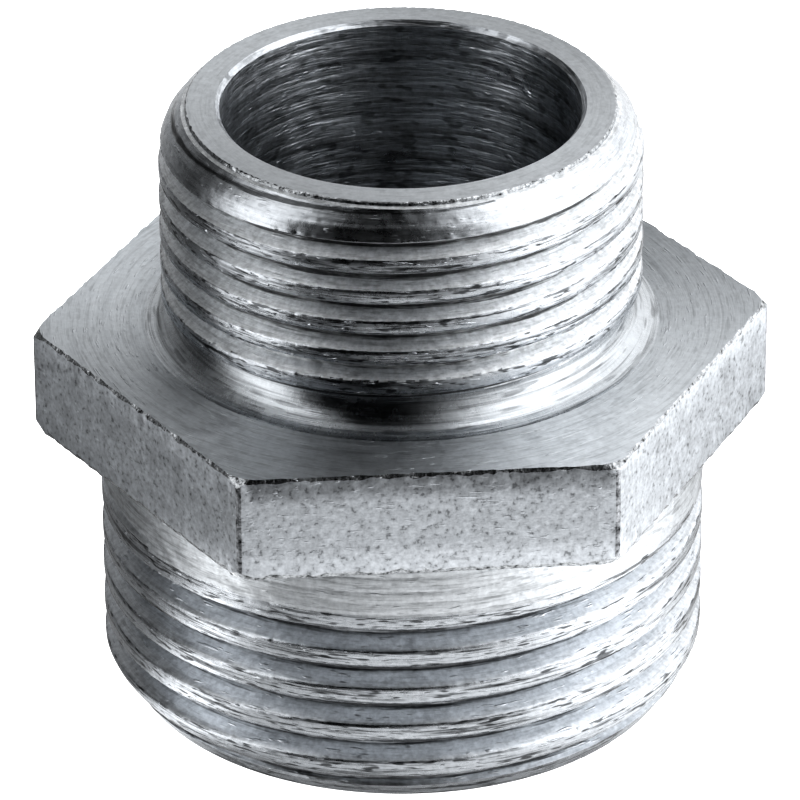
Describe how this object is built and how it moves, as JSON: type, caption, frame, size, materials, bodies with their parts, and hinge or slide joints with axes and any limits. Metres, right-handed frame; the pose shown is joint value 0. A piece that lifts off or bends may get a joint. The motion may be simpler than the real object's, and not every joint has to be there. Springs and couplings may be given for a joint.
{
  "type": "reducing hexagon nipple",
  "caption": "Male by male reducing pipe nipple with a large and a small parallel thread on one axis, a hexagon between them and an open stepped bore.",
  "frame": {"origin": "centre of the large end's flat face, which the part stands on", "axes": "+Z along the common axis of both threads, from the large end to the small end; two flats of the hexagon face along Y and two of its corners lie on X"},
  "size_m": [0.0402, 0.0348, 0.0344],
  "materials": {
    "zinc_plated_steel": "Bright zinc plating over turned steel: neutral grey with a slightly blue cast, semi-gloss, fine tool marks on the turned faces, mottled on the drawn hexagon flats."
  },
  "bodies": {
    "root": {"reducing_nipple": "zinc_plated_steel"}
  },
  "joints": []
}
